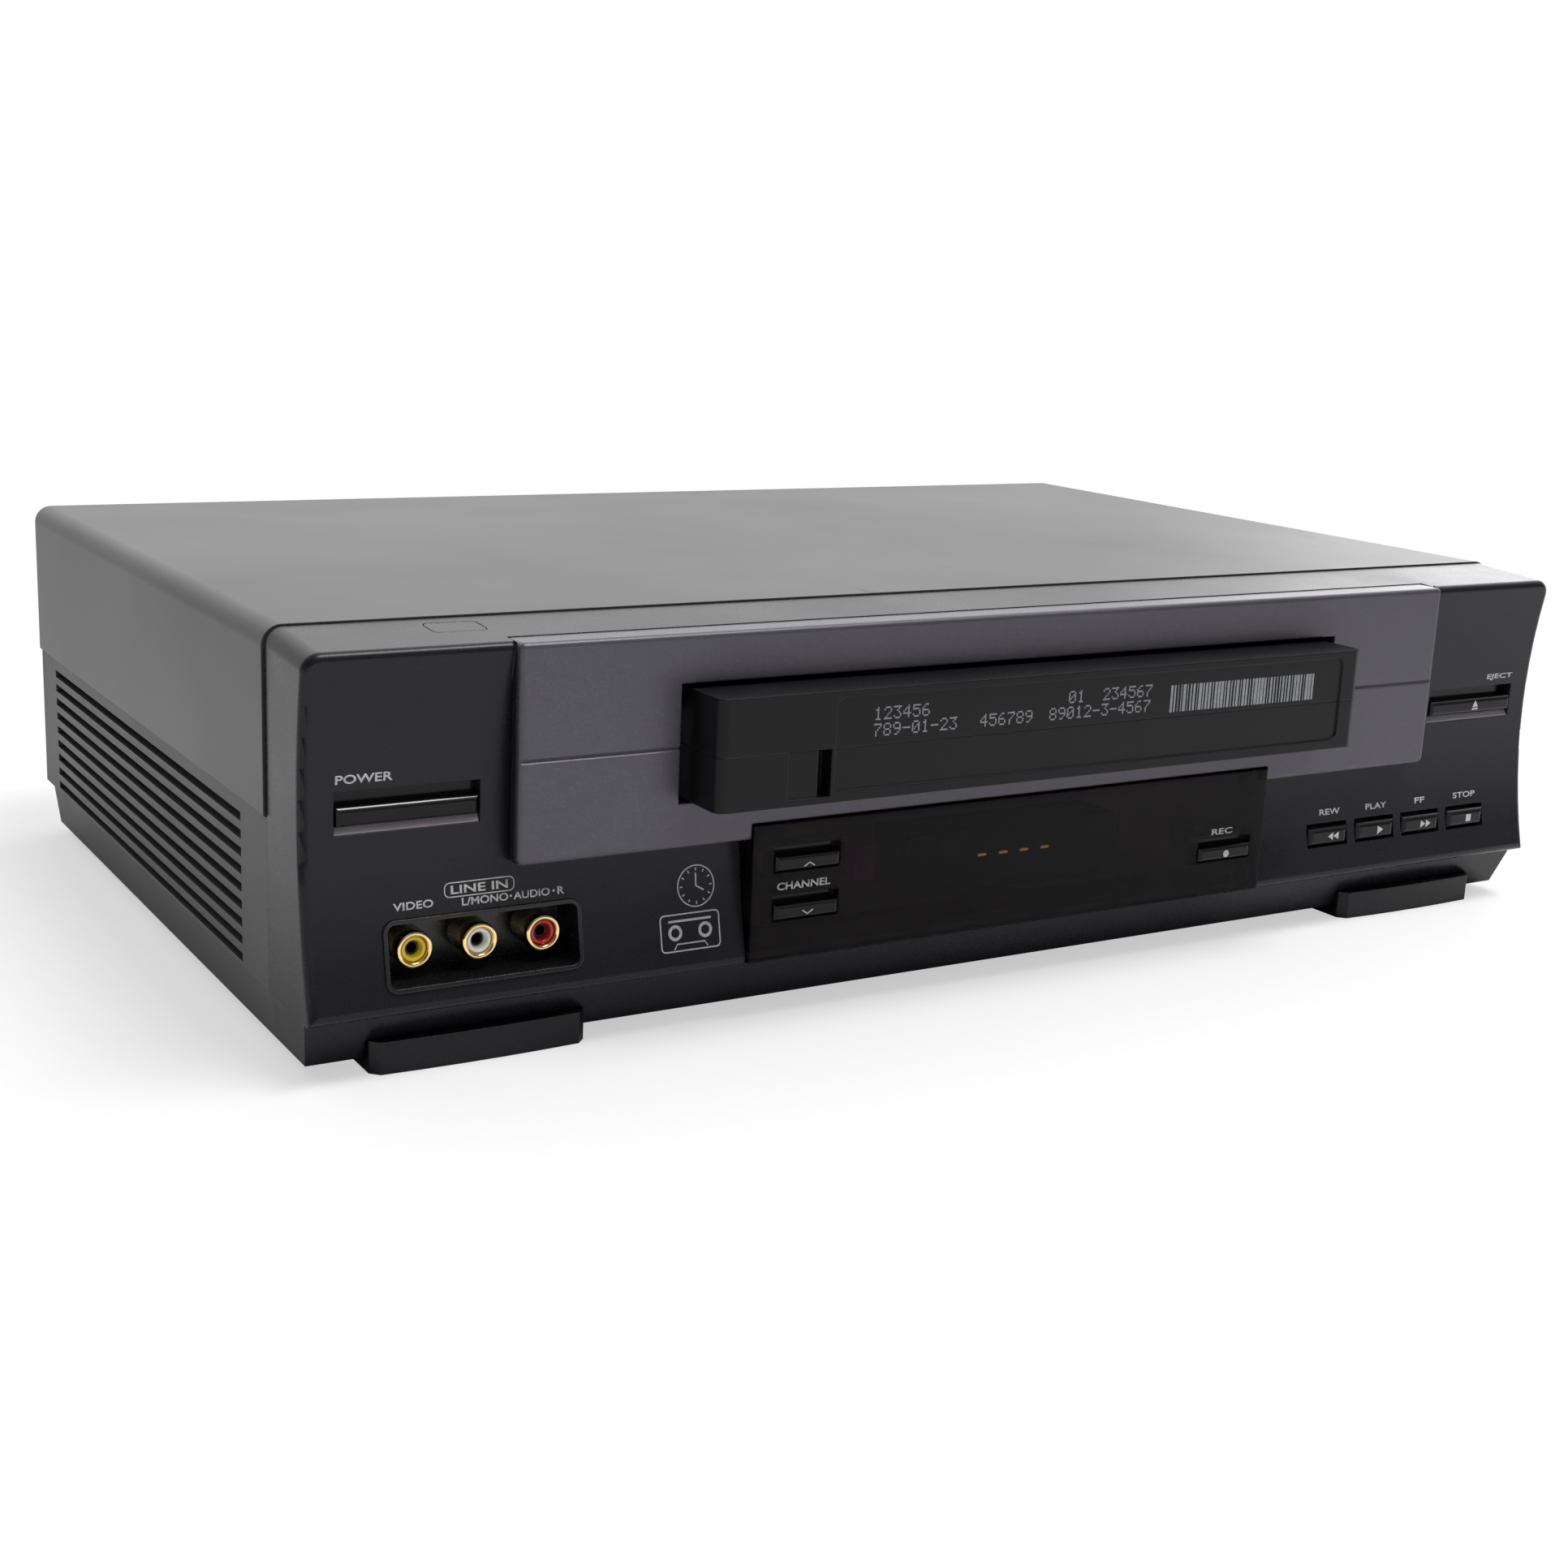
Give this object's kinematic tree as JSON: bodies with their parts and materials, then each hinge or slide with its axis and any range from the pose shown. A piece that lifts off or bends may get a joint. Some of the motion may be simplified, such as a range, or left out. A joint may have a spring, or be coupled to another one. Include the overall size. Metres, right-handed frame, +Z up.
{
  "type": "video cassette recorder",
  "caption": "Front-loading video cassette recorder, dark case with a raised grey front panel, a cassette standing in its slot and a tape deck inside.",
  "frame": {"origin": "on the floor under the middle of the whole, cassette and rear sockets included", "axes": "+X to the right as the user faces the front, +Y to the rear, +Z up"},
  "size_m": [0.36, 0.2484, 0.093],
  "materials": {
    "charcoal_moulding": "satin charcoal moulding",
    "panel_grey": "satin metallic grey paint",
    "smoked_window": "polished smoked acrylic",
    "key_black": "gloss black",
    "cover_paint": "fine textured dark paint",
    "chassis_plastic": "fine textured black moulding",
    "zinc_sheet": "zinc plated sheet",
    "rear_paint": "matt dark paint",
    "screw_black": "blackened steel",
    "foot_plastic": "satin dark moulding",
    "jack_black": "gloss black",
    "gold_plate": "gold plated",
    "yellow_plastic": "gloss yellow",
    "white_plastic": "gloss white",
    "red_plastic": "gloss red",
    "gland_rubber": "matt black",
    "board_laminate": "phenolic laminate",
    "capacitor_sleeve": "dark blue sleeve",
    "core_steel": "varnished laminations",
    "sink_aluminium": "bare extrusion",
    "switch_plastic": "black",
    "tube_glass": "dark glass",
    "drum_aluminium": "turned and polished",
    "head_metal": "polished",
    "motor_steel": "plated can",
    "gear_plastic": "natural white",
    "arm_steel": "plated steel",
    "pinch_rubber": "ground rubber",
    "table_plastic": "satin black",
    "flap_plastic": "satin black",
    "cassette_black": "satin black, fine texture on top",
    "reel_white": "natural white",
    "tape_brown": "dark brown oxide"
  },
  "bodies": {
    "cabinet": {"front_fascia": "charcoal_moulding", "centre_panel": "panel_grey", "display_window": "smoked_window", "top_cover": "cover_paint", "chassis_base": "chassis_plastic", "bottom_plate": "zinc_sheet", "deck_plate": "zinc_sheet", "carriage_frame": "zinc_sheet", "tuner_can": "zinc_sheet", "rear_panel": "rear_paint", "cover_screws": "screw_black", "chassis_screws": "screw_black", "feet": "foot_plastic", "front_jack_block": "jack_black", "jack_shells": "gold_plate", "yellow_jack_inserts": "yellow_plastic", "white_jack_inserts": "white_plastic", "red_jack_inserts": "red_plastic", "cord_gland": "gland_rubber", "main_board": "board_laminate", "key_board": "board_laminate", "power_capacitors": "capacitor_sleeve", "power_transformer": "core_steel", "heatsink": "sink_aluminium", "key_switches": "switch_plastic", "display_tube": "tube_glass", "lower_drum": "drum_aluminium", "tape_heads": "head_metal", "loading_motor": "motor_steel"},
    "cassette": {"cassette_lower_shell": "cassette_black", "cassette_upper_shell": "cassette_black", "cassette_screws": "screw_black"},
    "cassette_supply_reel": {"cassette_supply_reel": "reel_white", "cassette_tape": "tape_brown"},
    "power_button": {"power_button": "key_black"},
    "eject_button": {"eject_button": "key_black"},
    "channel_up_button": {"channel_up_button": "key_black"},
    "channel_down_button": {"channel_down_button": "key_black"},
    "record_button": {"record_button": "key_black"},
    "rewind_button": {"rewind_button": "key_black"},
    "play_button": {"play_button": "key_black"},
    "forward_button": {"forward_button": "key_black"},
    "stop_button": {"stop_button": "key_black"},
    "cassette_flap": {"cassette_flap": "flap_plastic"},
    "cassette_carriage": {"cassette_carriage": "zinc_sheet"},
    "loading_shaft": {"loading_shaft": "gear_plastic"},
    "loading_worm": {"loading_worm": "gear_plastic"},
    "cassette_lid": {"cassette_lid": "cassette_black"},
    "cassette_takeup_reel": {"cassette_takeup_reel": "reel_white"},
    "upper_drum": {"upper_drum": "drum_aluminium"},
    "capstan_flywheel": {"capstan_flywheel": "arm_steel"},
    "pinch_arm": {"pinch_arm": "arm_steel"},
    "pinch_roller": {"pinch_roller": "pinch_rubber"},
    "supply_table": {"supply_table": "table_plastic"},
    "takeup_table": {"takeup_table": "table_plastic"},
    "idler_arm": {"idler_arm": "arm_steel"},
    "idler_wheel": {"idler_wheel": "gear_plastic"},
    "tension_arm": {"tension_arm": "arm_steel"},
    "supply_guide": {"supply_guide": "arm_steel"},
    "takeup_guide": {"takeup_guide": "arm_steel"}
  },
  "joints": [
    {"name": "power_press", "type": "slide", "parent": "cabinet", "child": "power_button", "axis": [0, 1, 0], "range_m": [0, 0.001], "stiffness_N_per_m": 300},
    {"name": "eject_press", "type": "slide", "parent": "cabinet", "child": "eject_button", "axis": [0, 1, 0], "range_m": [0, 0.001], "stiffness_N_per_m": 300},
    {"name": "channel_up_press", "type": "slide", "parent": "cabinet", "child": "channel_up_button", "axis": [0, 1, 0], "range_m": [0, 0.001], "stiffness_N_per_m": 300},
    {"name": "channel_down_press", "type": "slide", "parent": "cabinet", "child": "channel_down_button", "axis": [0, 1, 0], "range_m": [0, 0.001], "stiffness_N_per_m": 300},
    {"name": "record_press", "type": "slide", "parent": "cabinet", "child": "record_button", "axis": [0, 1, 0], "range_m": [0, 0.001], "stiffness_N_per_m": 300},
    {"name": "rewind_press", "type": "slide", "parent": "cabinet", "child": "rewind_button", "axis": [0, 1, 0], "range_m": [0, 0.001], "stiffness_N_per_m": 300},
    {"name": "play_press", "type": "slide", "parent": "cabinet", "child": "play_button", "axis": [0, 1, 0], "range_m": [0, 0.001], "stiffness_N_per_m": 300},
    {"name": "forward_press", "type": "slide", "parent": "cabinet", "child": "forward_button", "axis": [0, 1, 0], "range_m": [0, 0.001], "stiffness_N_per_m": 300},
    {"name": "stop_press", "type": "slide", "parent": "cabinet", "child": "stop_button", "axis": [0, 1, 0], "range_m": [0, 0.001], "stiffness_N_per_m": 300},
    {"name": "flap_swing", "type": "hinge", "parent": "cabinet", "child": "cassette_flap", "pos_m": [0, -0.105, 0.0828], "axis": [1, 0, 0], "range_deg": [0, 5]},
    {"name": "carriage_slide", "type": "slide", "parent": "cabinet", "child": "cassette_carriage", "axis": [0, 1, 0], "range_m": [0, 0.045]},
    {"name": "loading_shaft_turn", "type": "hinge", "parent": "cabinet", "child": "loading_shaft", "pos_m": [0, -0.0516, 0.0836], "axis": [1, 0, 0], "range_deg": [0, 370]},
    {"name": "loading_worm_turn", "type": "hinge", "parent": "cabinet", "child": "loading_worm", "pos_m": [0.12, -0.0516, 0.073], "axis": [0, 1, 0], "range_deg": [0, 1300]},
    {"name": "cassette_slide", "type": "slide", "parent": "cassette_carriage", "child": "cassette", "axis": [0, 1, 0], "range_m": [-0.11, 0]},
    {"name": "lid_swing", "type": "hinge", "parent": "cassette", "child": "cassette_lid", "pos_m": [0, -0.0336, 0.0755], "axis": [1, 0, 0], "range_deg": [0, 85]},
    {"name": "cassette_supply_reel_turn", "type": "hinge", "parent": "cassette", "child": "cassette_supply_reel", "pos_m": [-0.0462, -0.0792, 0.064], "axis": [0, 0, 1], "continuous": true},
    {"name": "cassette_takeup_reel_turn", "type": "hinge", "parent": "cassette", "child": "cassette_takeup_reel", "pos_m": [0.0462, -0.0792, 0.064], "axis": [0, 0, 1], "continuous": true},
    {"name": "upper_drum_spin", "type": "hinge", "parent": "cabinet", "child": "upper_drum", "pos_m": [0, 0.0644, 0.0272], "axis": [0, 0.0872, 0.9962], "continuous": true},
    {"name": "capstan_spin", "type": "hinge", "parent": "cabinet", "child": "capstan_flywheel", "pos_m": [0.055, 0.0264, 0.03], "axis": [0, 0, 1], "continuous": true},
    {"name": "pinch_arm_swing", "type": "hinge", "parent": "cabinet", "child": "pinch_arm", "pos_m": [0.084, 0.0144, 0.03], "axis": [0, 0, 1], "range_deg": [-20, 0]},
    {"name": "pinch_roller_turn", "type": "hinge", "parent": "pinch_arm", "child": "pinch_roller", "pos_m": [0.06011, 0.01214, 0.03], "axis": [0, 0, 1], "continuous": true},
    {"name": "supply_table_turn", "type": "hinge", "parent": "cabinet", "child": "supply_table", "pos_m": [-0.0462, -0.0342, 0.03], "axis": [0, 0, 1], "continuous": true},
    {"name": "takeup_table_turn", "type": "hinge", "parent": "cabinet", "child": "takeup_table", "pos_m": [0.0462, -0.0342, 0.03], "axis": [0, 0, 1], "continuous": true},
    {"name": "idler_arm_swing", "type": "hinge", "parent": "cabinet", "child": "idler_arm", "pos_m": [0, -0.0596, 0.03], "axis": [0, 0, 1], "range_deg": [-35, 35]},
    {"name": "idler_wheel_turn", "type": "hinge", "parent": "idler_arm", "child": "idler_wheel", "pos_m": [0, -0.0376, 0.03], "axis": [0, 0, 1], "continuous": true},
    {"name": "tension_arm_swing", "type": "hinge", "parent": "cabinet", "child": "tension_arm", "pos_m": [-0.084, 0.0024, 0.03], "axis": [0, 0, 1], "range_deg": [0, 12]},
    {"name": "supply_guide_slide", "type": "slide", "parent": "cabinet", "child": "supply_guide", "axis": [-0.1961, 0.9806, 0], "range_m": [0, 0.061]},
    {"name": "takeup_guide_slide", "type": "slide", "parent": "cabinet", "child": "takeup_guide", "axis": [0.1961, 0.9806, 0], "range_m": [0, 0.061]}
  ],
  "couplings": [
    {"joint": "loading_shaft_turn", "follows": "carriage_slide", "rad_per_m": 142.86},
    {"joint": "loading_worm_turn", "follows": "carriage_slide", "rad_per_m": 500},
    {"joint": "lid_swing", "follows": "carriage_slide", "rad_per_m": 32.9},
    {"joint": "takeup_guide_slide", "follows": "supply_guide_slide", "ratio": 1}
  ]
}
